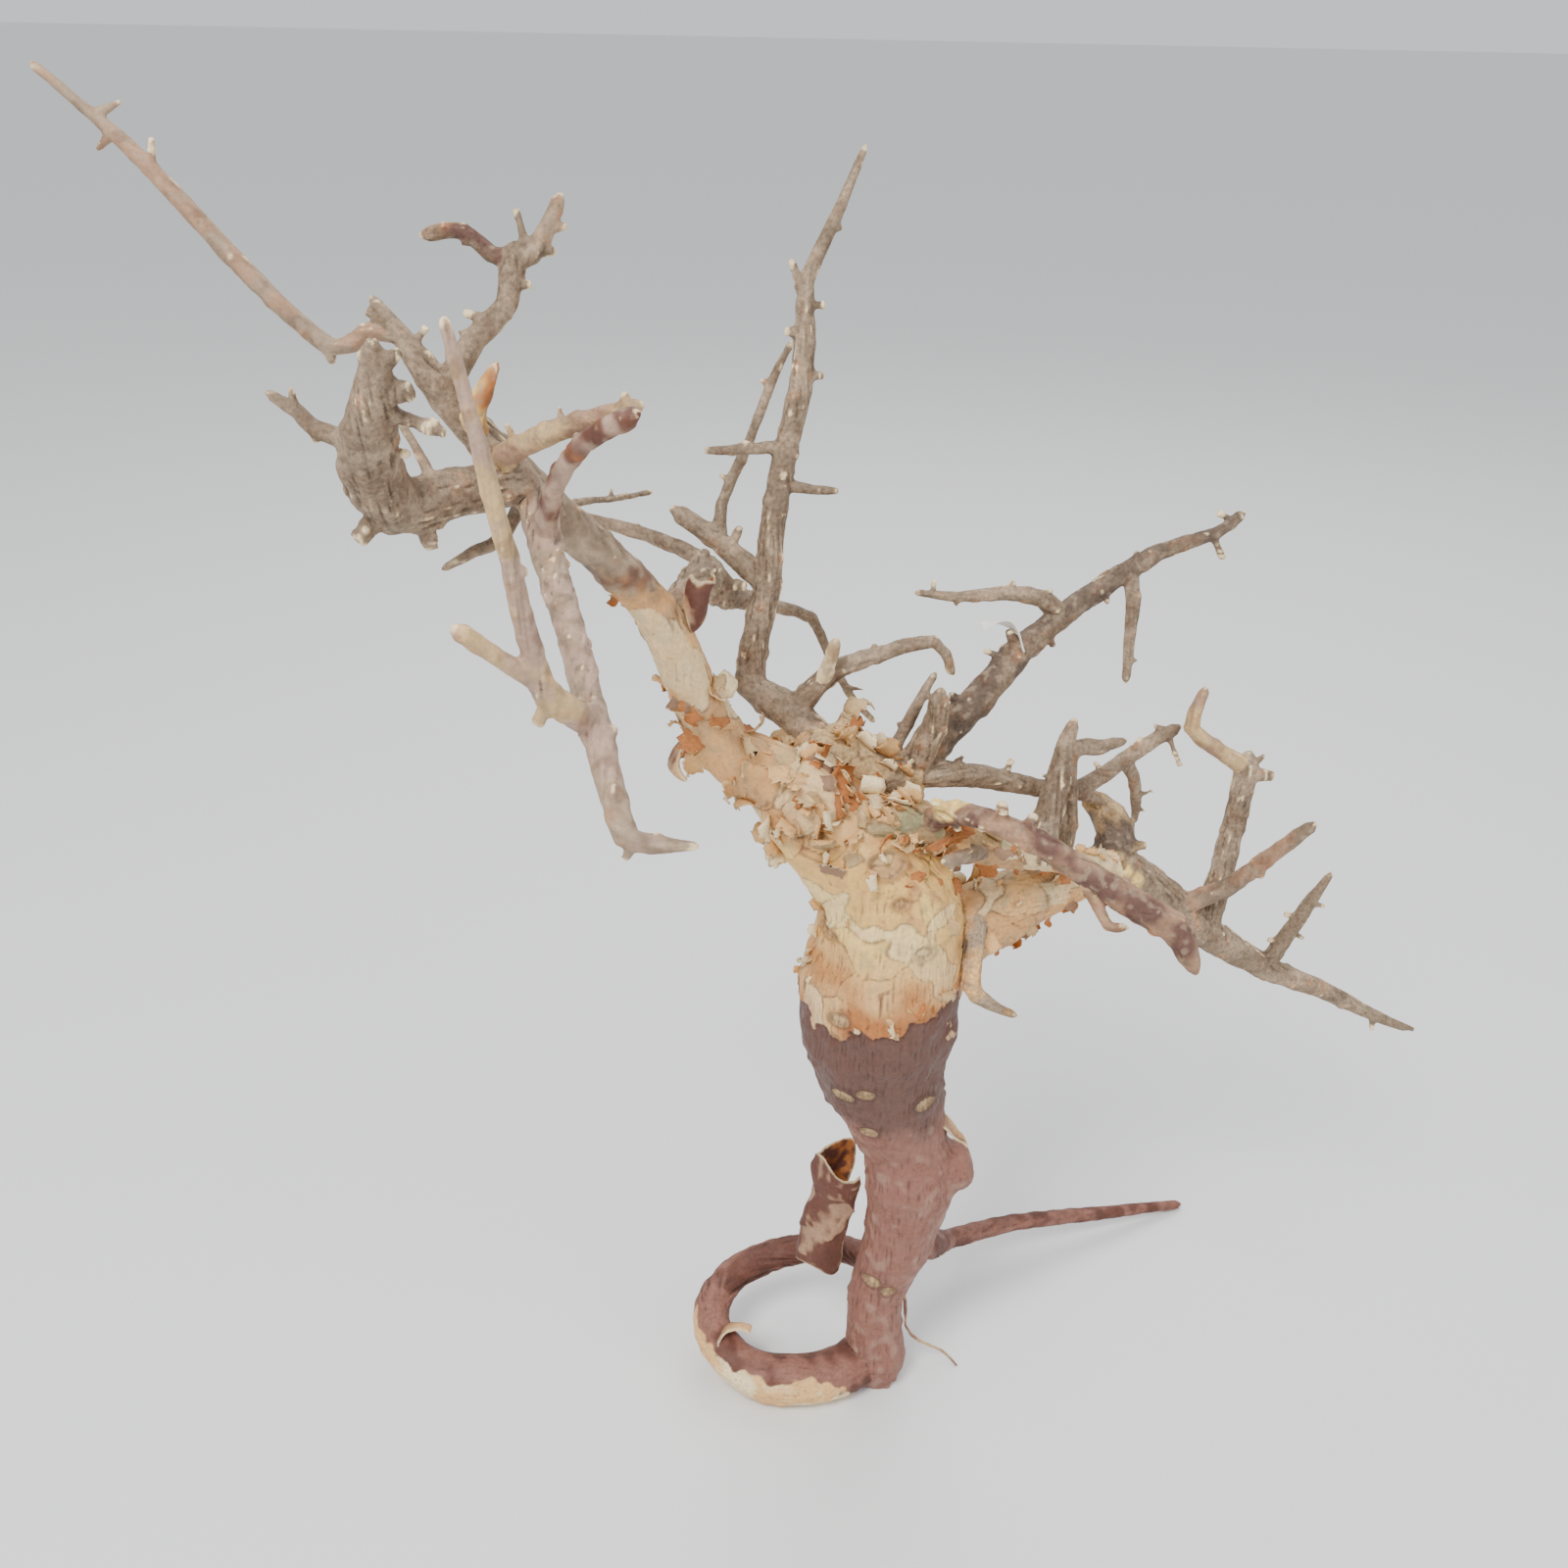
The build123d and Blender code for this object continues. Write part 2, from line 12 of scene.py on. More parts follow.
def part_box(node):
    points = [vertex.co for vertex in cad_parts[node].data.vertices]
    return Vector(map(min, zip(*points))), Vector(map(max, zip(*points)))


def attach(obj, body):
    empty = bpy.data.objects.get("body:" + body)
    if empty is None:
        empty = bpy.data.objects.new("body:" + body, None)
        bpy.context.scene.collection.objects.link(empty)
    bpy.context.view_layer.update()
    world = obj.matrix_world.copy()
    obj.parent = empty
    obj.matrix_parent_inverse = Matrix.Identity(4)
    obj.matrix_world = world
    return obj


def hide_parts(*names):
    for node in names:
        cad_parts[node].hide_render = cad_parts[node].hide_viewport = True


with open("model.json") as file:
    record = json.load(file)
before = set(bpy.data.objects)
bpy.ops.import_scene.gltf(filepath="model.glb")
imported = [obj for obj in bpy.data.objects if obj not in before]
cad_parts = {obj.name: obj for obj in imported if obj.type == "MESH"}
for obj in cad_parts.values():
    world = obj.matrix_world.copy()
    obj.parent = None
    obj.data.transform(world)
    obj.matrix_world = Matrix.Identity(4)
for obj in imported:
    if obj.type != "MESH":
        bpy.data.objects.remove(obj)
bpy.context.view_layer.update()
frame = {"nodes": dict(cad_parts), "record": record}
nodes = frame["nodes"]
SLOTS = {entry["node"]: entry["material_slot"] for entry in frame["record"]["subparts"]}
LOOSE = [name for name, slot in SLOTS.items() if slot in ("loose_bark", "scrap_paper")]
WOOD = [name for name in SLOTS if name not in LOOSE]
MM = 0.001                # the mesh work below is in millimetres, the scene in metres
VOXEL = 0.5      # size of the skin's faces
WELD_GAP = 0.001          # corners nearer than this are one corner
SEED = 7
TINY = 1e-6               # keeps a division by a length away from zero

# Camera, in millimetres and degrees
EYE = (-34.6, -392.5, 412.3)
PITCH, ROLL = 26.1, 1.16
LENS, SENSOR = 36.45, 36

# Colours as the eye sees them
TONES = {
    "cream": (219, 172, 113), "yellow": (244, 204, 120), "orange": (178, 112, 60), "tan": (196, 164, 118),
    "grey": (126, 106, 85), "pale_grey": (158, 137, 113), "dark_grey": (98, 81, 67),
    "brown": (96, 64, 47), "tawny": (160, 125, 98), "purple": (98, 68, 58), "mauve": (134, 90, 76),
    "red_brown": (96, 58, 46), "pink": (172, 142, 122),
    # The darkest tone rings the scars and is also painted into hollows as shade
    "bone": (236, 212, 166), "crack_and_shade": (58, 36, 26), "olive": (150, 142, 104), "white": (236, 233, 226)}

# The two tones that mottle each limb, where they are not the plain ones
MOTTLE = {
    "root_loop": ("red_brown", "mauve"), "root_tail": ("mauve", "red_brown"),
    "rootlet": ("tan", "mauve"), "limb_left": ("cream", "tan"),
    "twig_long": ("tawny", "pale_grey"), "antler_left": ("purple", "grey"),
    "branch_orange": ("tawny", "tan"), "branch_front": ("pink", "pale_grey"),
    "twig_front_knob": ("pink", "red_brown"), "twig_front_tall": ("pink", "tan"),
    "twig_front_left": ("pink", "tan"), "stub_peeled": ("yellow", "orange"),
    "limb_right": ("cream", "tan"), "limb_right_low": ("tan", "olive"),
    "limb_right_upper": ("pale_grey", "tan"), "branch_high": ("dark_grey", "grey"),
    "branch_torn": ("purple", "tawny"), "stump": ("dark_grey", "tan"),
    "spur_cream": ("bone", "tan"), "twig_post_top": ("tawny", "tan"),
    "spur_droop": ("pale_grey", "cream"), "twig_torn": ("tan", "tawny"),
    "twig_rise": ("grey", "tawny")}
PLAIN_MOTTLE = ("grey", "pale_grey")

# Heights where the bark changes
CREAM_FROM = 153          # the peeling bark's ragged lower edge
MAUVE_BELOW = 110         # the trunk is mauve below here and purple above
GREY_FROM = 279           # the left limb turns from cream to grey here
CROWN_FROM, CROWN_FULL = 196, 214       # the trunk's yellow gives way to orange patches between these
LAYER_STEP = 0.55         # thickness of the peeling layer

# Round scars on the trunk's front: right, up, radius
SCARS = [
    (-17, 154, 3), (-9, 128, 3), (-15, 125, 3.5), (9, 120, 3.2), (-7, 110, 3), (-20, 177, 2.2),
    (5, 176, 3), (-2, 191, 2.5), (-6, 201, 5), (-25, 209, 2.6), (-3, 46, 3), (2, 43, 2.6)]
SCAR_RIM = 0.6            # height of the ring round a scar
SCAR_DIP = 0.25
# Bright torn wood: right, back, up, radius
TORN = [(8, -12, 224, 9), (72, 17, 182, 9)]
LOOP_CENTRE = (-29, 8)
LOOP_GIRTH = 6            # radius the grain shading takes for the looped root
# How far loose bark moves to touch the grown skin: right, back, up
NUDGE = {"bark_flap_trunk": (-4, 0, -1)}

# The swelling low on the trunk's right, which is smoother than the rest
BURL_FROM, BURL_FULL = 14, 20
BURL_HEIGHT, BURL_REACH = 86, 18
BURL_ROUNDS, SKIN_ROUNDS, LOOSE_ROUNDS = 70, 12, 4
FILL_PULL = 0.6           # how fast hollows fill and the swelling evens out
FIRST_PULL, EVEN_PULL, EVEN_PUSH = 0.4, 0.3, -0.31      # how bumps move, first and then by turns

# Curled peels
PEEL_COUNT = 330
PEEL_HALF_THICKNESS = 0.12
PEEL_ROWS, PEEL_COLUMNS = 7, 6
PEEL_HEIGHT, PEEL_SPREAD = 218, 22      # the crown's middle height, and how far peels thin out from it
PEEL_SIZES = (2.2, 6.5)
PEEL_CURLS = (1.2, 3.4)                 # turn from root to tip, in radians
PEEL_LIFTS = (0.5, 1.3)                 # length as a share of the width
PEEL_LARGE_FROM = 195                   # peels above here are larger
PEEL_LARGER, PEEL_SMALLER = 1.25, 0.85
PEEL_SUNK = 0.15
PEEL_TONES = [
    ("cream", "tan"), ("tan", "orange"), ("bone", "cream"), ("cream", "orange"), ("bone", "tawny")]

# Loose strips of bark and paper
PAPER_VOXEL, BARK_VOXEL = 0.25, 0.4
STRIP_WARP, STRIP_RIPPLE = (2, 2, 5), 0.15
STRIP_FLOOR = 0.1                       # no loose strip goes lower

# Relief of the skin, in millimetres
WAVE_RELIEF, PATCH_RELIEF, KNOT_RELIEF = 0.9, 0.35, 0.75
FINE_RELIEF, STREAK_RELIEF, SLEEK_RELIEF = 0.06, 0.15, 0.03
PLATE_SIZE, KNOT_SPACING = 12, 5.5
FINE_ROUNDS, COARSE_ROUNDS = 14, 60     # how far the speckle is drawn out along the grain

# Specks and fine grain of the materials
FLECK_SCALE, BROAD_SCALE, SPOT_SCALE = 900, 170, 420
RELIEF_DEPTH = 0.0004

# Studio, in metres and watts
CLIP_START, CLIP_END = 0.01, 30
FLOOR_HALF = 25
FLOOR_TONE, FLOOR_ROUGHNESS = (0.8, 0.8, 0.79, 1), 0.55
SKY_TONE, SKY_STRENGTH = (0.9, 0.92, 0.95, 1), 0.9
AIM = (0, 0, 0.2)
# Each lamp's name, place, power and width
LAMPS = [
    ("key", (-0.5, -0.8, 1.3), 22, 0.5), ("fill", (0.9, -0.6, 0.8), 5, 0.9),
    ("back", (0.2, 0.9, 1.1), 7, 0.8)]


def linear(name):
    """A tone as linear light."""
    share = np.array(TONES[name]) / 255
    return np.where(share <= 0.04045, share / 12.92, ((share + 0.055) / 1.055) ** 2.4)


def smooth(low, high, values):
    """A soft step from 0 at low to 1 at high."""
    t = np.clip((values - low) / (high - low), 0, 1)
    return t * t * (3 - 2 * t)


def mix(a, b, share):
    """Colours part-way from a to b, vertex by vertex."""
    return a + (b - a) * np.asarray(share)[:, None]


def field(points, scale, shift=0.0):
    """Smooth noise from -1 to 1 at each point, with lumps about scale across."""
    moved = (points / scale + shift).tolist()
    return np.fromiter((noise.noise(Vector(p)) for p in moved), float, len(moved))


def cells(points, scale):
    """Distance to the nearest cell centre, the gap to the next one, and a number per cell."""
    near, gap, tag = (np.empty(len(points)) for _ in range(3))
    for i, p in enumerate((points / scale).tolist()):
        gaps, centres = noise.voronoi(Vector(p))
        near[i], gap[i] = gaps[0], gaps[1] - gaps[0]
        tag[i] = noise.cell(centres[0] * 7.3)
    return near, gap, tag


def coordinates(mesh):
    """A mesh's vertices as an array."""
    flat = np.empty(len(mesh.vertices) * 3)
    mesh.vertices.foreach_get("co", flat)
    return flat.reshape(-1, 3)


def remeshed(names, voxel):
    """Corners and four-sided faces, in millimetres, of one closed skin round these CAD nodes."""
    points, faces, first = [], [], 0
    for name in names:
        mesh = nodes[name].data
        points.append(coordinates(mesh) / MM)
        faces += [[first + v for v in face.vertices] for face in mesh.polygons]
        first += len(mesh.vertices)
    mesh = bpy.data.meshes.new("soup")
    mesh.from_pydata(np.concatenate(points).tolist(), [], faces)
    holder = bpy.data.objects.new("soup", mesh)
    bpy.context.scene.collection.objects.link(holder)
    weld = holder.modifiers.new("weld", "WELD")
    weld.merge_threshold = WELD_GAP
    change = holder.modifiers.new("remesh", "REMESH")
    change.mode = "VOXEL"
    change.voxel_size = voxel
    done = bpy.data.meshes.new_from_object(holder.evaluated_get(bpy.context.evaluated_depsgraph_get()))
    bpy.data.objects.remove(holder)
    corners = np.empty(len(done.loops), int)
    done.loops.foreach_get("vertex_index", corners)
    result = coordinates(done), corners.reshape(-1, 4)
    bpy.data.meshes.remove(done)
    return result


class Skin:
    """Corners, four-sided faces and the edges between neighbouring corners."""

    def __init__(self, points, quads):
        self.points, self.quads = points, quads
        pairs = np.concatenate([quads[:, [k, (k + 1) % 4]] for k in range(4)])
        self.edges = np.unique(np.sort(pairs, axis=1), axis=0)
        ends = self.edges.T
        self.here, self.there = np.concatenate([ends[0], ends[1]]), np.concatenate([ends[1], ends[0]])
        self.count = np.maximum(1, np.bincount(self.here, minlength=len(points)))

    def gather(self, values, weights=None):
        """Each corner's neighbours added up."""
        taken = values[self.there]
        if weights is not None:
            taken = taken * (weights if values.ndim == 1 else weights[:, None])
        if values.ndim == 1:
            return np.bincount(self.here, taken, len(values))
        return np.stack([np.bincount(self.here, column, len(values)) for column in taken.T], 1)

    def mean(self, values):
        """Each corner's neighbours on average."""
        total = self.gather(values)
        return total / (self.count if values.ndim == 1 else self.count[:, None])

    def normals(self):
        """The direction out of the wood at each corner."""
        a, b, c, d = (self.points[self.quads[:, k]] for k in range(4))
        faces = np.cross(c - a, d - b)
        total = np.zeros_like(self.points)
        for k in range(4):
            for axis in range(3):
                total[:, axis] += np.bincount(self.quads[:, k], faces[:, axis], len(total))
        return total / np.maximum(1e-9, np.linalg.norm(total, axis=1))[:, None]

    def soften(self, rounds):
        """Fills the creases between limbs and takes the steps out, without thinning the twigs."""
        for turn in range(rounds):
            pull = self.mean(self.points) - self.points
            hollow = np.einsum("ij,ij->i", pull, self.normals()) > 0
            even = EVEN_PULL if turn % 2 else EVEN_PUSH
            bump = even if turn > 1 else FIRST_PULL
            self.points = self.points + pull * np.where(hollow, FILL_PULL, bump)[:, None]

    def bulge(self, rounds):
        """How far each corner stands out of its surroundings, in millimetres."""
        wide = self.points
        for _ in range(rounds):
            wide = self.mean(wide)
        return np.einsum("ij,ij->i", self.points - wide, self.normals())


def node_size(name):
    """A CAD node's longest side, in millimetres."""
    low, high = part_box(name)
    return max(high - low) / MM


def labels_for(points, large=60, large_voxel=1.2, small_voxel=0.7):
    """For each point, the CAD node nearest to it, as a place in WOOD."""
    dense = [remeshed([name], large_voxel if node_size(name) > large else small_voxel)[0] for name in WOOD]
    tree = kdtree.KDTree(sum(len(part) for part in dense))
    owner = []
    for index, part in enumerate(dense):
        for p in part.tolist():
            tree.insert(p, len(owner))
            owner.append(index)
    tree.balance()
    return np.array([owner[tree.find(p)[1]] for p in points.tolist()])


def drop_islands(skin, labels, least=80, most_steps=400, most_rings=12):
    """Gives small patches that were cut off from their limb to the limb round them."""
    group = np.arange(len(labels))
    same = labels[skin.here] == labels[skin.there]
    here, there = skin.here[same], skin.there[same]
    for _ in range(most_steps):
        before = group.copy()
        np.minimum.at(group, here, group[there])
        group = group[group]
        if (before == group).all():
            break
    size = np.bincount(group, minlength=len(labels))[group]
    for _ in range(most_rings):
        lost = (size < least)[skin.here] & (size >= least)[skin.there]
        if not lost.any():
            break
        labels[skin.here[lost]] = labels[skin.there[lost]]
        size[skin.here[lost]] = least
    return labels


def grain_and_girth(points, labels, fewest=8, station=5, thin_out=7):
    """The direction each limb runs in at each corner, and the limb's radius there."""
    along, girth = np.zeros_like(points), np.ones(len(points))
    for index, name in enumerate(WOOD):
        mine = labels == index
        own = points[mine]
        if len(own) < fewest:
            along[mine] = (0, 0, 1)
            continue
        centre = own.mean(0)
        if name == "trunk":
            axis = np.array([0, 0, 1.0])
        else:
            axis = np.linalg.svd((own - centre)[::thin_out], full_matrices=False)[2][0]
        place = (own - centre) @ axis
        step = np.clip(((place - place.min()) / station).astype(int), 0, None)
        count = np.maximum(1, np.bincount(step))
        middle = np.stack([np.bincount(step, own[:, k]) for k in range(3)], 1) / count[:, None]
        run = np.gradient(middle, axis=0) if len(middle) > 1 else np.array([axis])
        run = run / np.maximum(TINY, np.linalg.norm(run, axis=1))[:, None]
        if name == "root_loop":
            spoke = own - np.array([*LOOP_CENTRE, own[:, 2].mean()])
            tangent = np.cross(spoke, (0, 0, 1.0))
            along[mine] = tangent / np.maximum(TINY, np.linalg.norm(tangent, axis=1))[:, None]
            girth[mine] = LOOP_GIRTH
            continue
        along[mine] = run[step]
        gap = own - middle[step]
        gap = gap - run[step] * np.einsum("ij,ij->i", gap, run[step])[:, None]
        girth[mine] = np.linalg.norm(gap, axis=1)
    return along, girth


def fibres(skin, along, rounds, seed, sharp=5, least=0.01, kept=0.3, most=2.2):
    """Random speckle drawn out along the grain, from about -2 to 2."""
    offset = skin.points[skin.there] - skin.points[skin.here]
    length = np.maximum(TINY, np.linalg.norm(offset, axis=1))
    in_line = np.abs(np.einsum("ij,ij->i", offset, along[skin.here]) / length)
    weight = in_line ** sharp + least
    total = np.bincount(skin.here, weight, len(skin.points))
    streak = np.random.default_rng(seed).normal(size=len(skin.points))
    for _ in range(rounds):
        streak = kept * streak + (1 - kept) * skin.gather(streak, weight) / total
    return np.clip((streak - streak.mean()) / streak.std(), -most, most)


def is_one_of(labels, *names):
    """Which corners belong to these limbs."""
    return np.isin(labels, [WOOD.index(name) for name in names])


def grow_skin():
    """Builds the whole skin: its shape, its colours and its labels."""
    skin = Skin(*remeshed(WOOD, VOXEL))
    skin.soften(SKIN_ROUNDS)
    level = np.abs(skin.points[:, 2] - BURL_HEIGHT) < BURL_REACH
    burl = smooth(BURL_FROM, BURL_FULL, skin.points[:, 0]) * level
    for _ in range(BURL_ROUNDS):
        skin.points = skin.points + (skin.mean(skin.points) - skin.points) * (FILL_PULL * burl)[:, None]
    labels = drop_islands(skin, labels_for(skin.points))
    along, girth = grain_and_girth(skin.points, labels)
    out = skin.normals()
    p = skin.points.copy()
    fine = fibres(skin, along, FINE_ROUNDS, SEED)
    coarse = fibres(skin, along, COARSE_ROUNDS, SEED + 1)
    wave = field(p, 14, 3.1)
    patch, patch_small = field(p, 11, 9.7), field(p, 4, 5.3)
    bent = p + 3.2 * np.column_stack([field(p, 7, shift) for shift in (2.2, 8.1, 6.6)])
    _, gap, tag = cells(bent, PLATE_SIZE)
    knot_near, _, _ = cells(p, KNOT_SPACING)
    stout = smooth(3, 12, girth)

    trunk = is_one_of(labels, "trunk")
    edge = p[:, 2] - CREAM_FROM - 13 * field(p, 19, 1.7) - 6 * field(p, 6, 2.9) - 2 * field(p, 2, 4.2)
    papery_left = is_one_of(labels, "limb_left") & (p[:, 2] < GREY_FROM)
    papery_right = is_one_of(labels, "limb_right", "limb_right_low", "limb_right_upper")
    papery = (trunk & (edge > 0)) | papery_left | papery_right
    layer = np.where(trunk, smooth(-0.3, 0.3, edge), 0) * LAYER_STEP
    plates = np.where(papery, tag * 0.3 - 0.12 * (gap < 0.05), 0) * np.maximum(0.5, stout)
    thin = np.clip(girth / 4, 0.35, 1)
    roots = is_one_of(labels, "root_loop", "root_tail", "rootlet")
    bare = is_one_of(labels, "root_loop") & (p[:, 0] < -4) & (p[:, 1] < 8)
    sleek = papery | trunk | bare
    height = (layer + plates + wave * WAVE_RELIEF * stout + patch_small * PATCH_RELIEF * thin
              + (fine * FINE_RELIEF + coarse * np.where(sleek, SLEEK_RELIEF, STREAK_RELIEF)) * thin)
    height += np.where(papery | roots, 0, KNOT_RELIEF * np.exp(-(knot_near / 0.25) ** 2)) * thin
    ringed = np.zeros(len(p))
    scar = np.zeros(len(p))
    for right, up, radius in SCARS:
        away = np.hypot(p[:, 0] - right, (p[:, 2] - up) * 1.35) * (1 + 0.18 * patch_small)
        front = trunk & (out[:, 1] < 0.1)
        ringed = np.maximum(ringed, np.where(front, np.exp(-((away - radius) / 0.7) ** 2), 0))
        scar = np.maximum(scar, np.where(front, 1 - smooth(radius - 0.6, radius, away), 0))
    height += ringed * SCAR_RIM - scar * SCAR_DIP
    skin.points = p + out * height[:, None]
    skin.points[:, 2] = np.maximum(skin.points[:, 2], 0)

    # Colours
    colour = np.zeros_like(p)
    blotch = smooth(-0.25, 0.3, patch + 0.5 * patch_small)
    for index, name in enumerate(WOOD):
        mine = labels == index
        a, b = MOTTLE.get(name, PLAIN_MOTTLE)
        colour[mine] = mix(linear(a), linear(b), blotch[mine])
    high = smooth(160, 185, p[:, 2]) * (1 - smooth(CROWN_FROM, CROWN_FULL, p[:, 2]))
    above = mix(linear("orange"), linear("cream"), smooth(-0.5, 0.15, patch + 0.02 * (p[:, 2] - 165)))
    above = mix(above, linear("yellow"), high * smooth(-0.3, 0.4, patch_small + 0.4))
    purpled = smooth(MAUVE_BELOW - 5, MAUVE_BELOW + 5, p[:, 2] + 6 * patch)
    below = mix(linear("mauve"), linear("purple"), purpled)
    below = mix(below, linear("pink"), 0.35 * smooth(0.1, 0.5, patch_small) * (p[:, 2] < MAUVE_BELOW))
    bark = mix(below, above, smooth(-0.4, 0.4, edge))
    bark = mix(bark, linear("red_brown"), np.exp(-((edge + 1.2) / 1.1) ** 2) * 0.85)
    colour[trunk] = bark[trunk]
    crown = smooth(CROWN_FROM, CROWN_FULL, p[:, 2]) * trunk
    colour = mix(colour, linear("orange"), crown * smooth(0, 0.35, patch) * 0.7)
    greyed = smooth(GREY_FROM - 8, GREY_FROM + 8, p[:, 2] + 8 * patch_small)
    greyed = is_one_of(labels, "limb_left") * greyed
    colour = mix(colour, mix(linear("grey"), linear("pale_grey"), blotch), greyed)
    colour = mix(colour, linear("olive"), papery * smooth(0.32, 0.5, patch_small) * 0.35)
    rim = np.exp(-((p[:, 2] - GREY_FROM - 4 - 3 * patch_small) / 2.6) ** 2)
    rim = is_one_of(labels, "limb_left") * rim * (out[:, 1] < 0.3) * 0.8
    colour = mix(colour, linear("red_brown"), rim)
    spoke = p[:, :2] - np.array(LOOP_CENTRE)
    spoke = spoke / np.maximum(TINY, np.linalg.norm(spoke, axis=1))[:, None]
    outward = 0.8 * np.einsum("ij,ij->i", out[:, :2], spoke) - 0.6 * out[:, 2] + 0.35 * patch_small
    outward -= 0.08 * np.maximum(0, p[:, 0] + 18)
    colour = mix(colour, mix(linear("bone"), linear("cream"), blotch), bare * smooth(0.22, 0.3, outward))
    for right, back, up, radius in TORN:
        away = np.linalg.norm(p - (right, back, up), axis=1) * (1 + 0.3 * patch_small)
        colour = mix(colour, linear("yellow"), 1 - smooth(radius * 0.7, radius, away))
    colour = mix(colour, linear("tan"), scar * 0.8)
    colour = mix(colour, linear("crack_and_shade"), ringed * 0.55)
    grey_limbs = ~papery & ~trunk & ~roots
    knots = grey_limbs * np.exp(-(knot_near / 0.3) ** 2) * smooth(0, 0.2, patch)
    colour = mix(colour, linear("orange"), knots * 0.5)
    colour = mix(colour, linear("brown"), grey_limbs * smooth(0.12, 0.4, patch_small) * 0.4)
    colour = mix(colour, linear("pale_grey"), grey_limbs * smooth(0.15, 0.45, field(p, 2.2, 8.8)) * 0.5)
    colour = mix(colour, linear("orange"), papery * smooth(0.15, 0.5, tag) * 0.35)
    colour = mix(colour, linear("bone"), papery * smooth(0.1, 0.6, -tag) * 0.45)
    seams = papery * (1 - smooth(0.01, 0.06, gap)) * smooth(-0.1, 0.3, patch)
    colour = mix(colour, linear("brown"), seams * 0.6)
    bulge = skin.bulge(5)
    low, knob_highlight_low, knob_highlight_high = np.percentile(bulge, [8, 97, 99.3])
    low = min(low, -0.01)
    # Pale tone on the most prominent bumps of the grey limbs: partly the knobs' own light colour, partly a
    # painted highlight on their tips
    colour = mix(colour, linear("bone"), smooth(knob_highlight_low, knob_highlight_high, bulge) * grey_limbs * 0.85)
    # Painted shade: corners sunk below their surroundings, in hollows and in the creases between limbs, are
    # darkened
    colour = mix(colour, linear("crack_and_shade"), (1 - smooth(low * 2.2, low * 0.6, bulge)) * 0.5)
    colour = colour * (1 + np.where(sleek, 0.03, 0.1) * coarse + 0.04 * fine)[:, None]
    return skin, labels, np.clip(colour, 0.005, 0.95), along, papery


def shader(name, rough, speck, bump, shine=0.35):
    """Bark or wood: the grown colour broken up by specks and fine grain, with its roughness and relief."""
    material = bpy.data.materials.new(name)
    material.use_nodes = True
    tree = material.node_tree
    tree.nodes.clear()
    add, link = tree.nodes.new, tree.links.new

    def spread(value, from_low, from_high, to_low, to_high):
        """A node that stretches a value from one range to another."""
        node = add("ShaderNodeMapRange")
        limits = (("From Min", from_low), ("From Max", from_high), ("To Min", to_low), ("To Max", to_high))
        for socket, limit in limits:
            node.inputs[socket].default_value = limit
        link(value, node.inputs["Value"])
        return node

    place = add("ShaderNodeTexCoord")
    tint = add("ShaderNodeAttribute")
    tint.attribute_name = "tint"
    fleck = add("ShaderNodeTexNoise")
    fleck.inputs["Scale"].default_value = FLECK_SCALE
    fleck.inputs["Detail"].default_value = 6
    fleck.inputs["Roughness"].default_value = 0.65
    broad = add("ShaderNodeTexNoise")
    broad.inputs["Scale"].default_value = BROAD_SCALE
    broad.inputs["Detail"].default_value = 5
    spots = add("ShaderNodeTexVoronoi")
    spots.inputs["Scale"].default_value = SPOT_SCALE
    for node in (fleck, broad, spots):
        link(place.outputs["Object"], node.inputs["Vector"])
    shade = spread(fleck.outputs["Fac"], 0.3, 0.7, 1 - speck, 1 + speck)
    scaled = add("ShaderNodeVectorMath")
    scaled.operation = "SCALE"
    link(tint.outputs["Color"], scaled.inputs[0])
    link(shade.outputs["Result"], scaled.inputs["Scale"])
    spot_mask = spread(spots.outputs["Distance"], 0.1, 0.26, 0.45, 0.0)
    gate = spread(broad.outputs["Fac"], 0.52, 0.6, 0.0, 1.0)
    both = add("ShaderNodeMath")
    both.operation = "MULTIPLY"
    link(spot_mask.outputs["Result"], both.inputs[0])
    link(gate.outputs["Result"], both.inputs[1])
    blend = add("ShaderNodeMix")
    blend.data_type = "RGBA"
    link(both.outputs[0], blend.inputs["Factor"])
    link(scaled.outputs["Vector"], blend.inputs[6])
    blend.inputs[7].default_value = (*linear("brown"), 1)
    surface = add("ShaderNodeBsdfPrincipled")
    surface.inputs["Specular IOR Level"].default_value = shine
    link(blend.outputs[2], surface.inputs["Base Color"])
    matt = spread(broad.outputs["Fac"], 0.35, 0.65, rough - 0.12, rough + 0.14)
    link(matt.outputs["Result"], surface.inputs["Roughness"])
    relief = add("ShaderNodeBump")
    relief.inputs["Strength"].default_value = bump
    relief.inputs["Distance"].default_value = RELIEF_DEPTH
    link(fleck.outputs["Fac"], relief.inputs["Height"])
    link(relief.outputs["Normal"], surface.inputs["Normal"])
    output = add("ShaderNodeOutputMaterial")
    link(surface.outputs["BSDF"], output.inputs["Surface"])
    return material


def caps(faces, points):
    """Extra middle points and triangles that close the open rims of a set of faces."""
    sides = np.concatenate([faces[:, [k, (k + 1) % 4]] for k in range(4)])
    known = {(a, b) for a, b in sides.tolist()}
    following = {}
    for a, b in known:
        if (b, a) not in known:
            following.setdefault(b, []).append(a)
    middles, triangles = [], []
    while following:
        start = next(iter(following))
        ring, at = [start], start
        while True:
            onward = following[at].pop()
            if not following[at]:
                del following[at]
            if onward == start or onward not in following:
                break
            ring.append(onward)
            at = onward
        if len(ring) > 2:
            middle = len(points) + len(middles)
            middles.append(points[ring].mean(0))
            triangles += [(ring[k], ring[(k + 1) % len(ring)], middle) for k in range(len(ring))]
    return middles, triangles


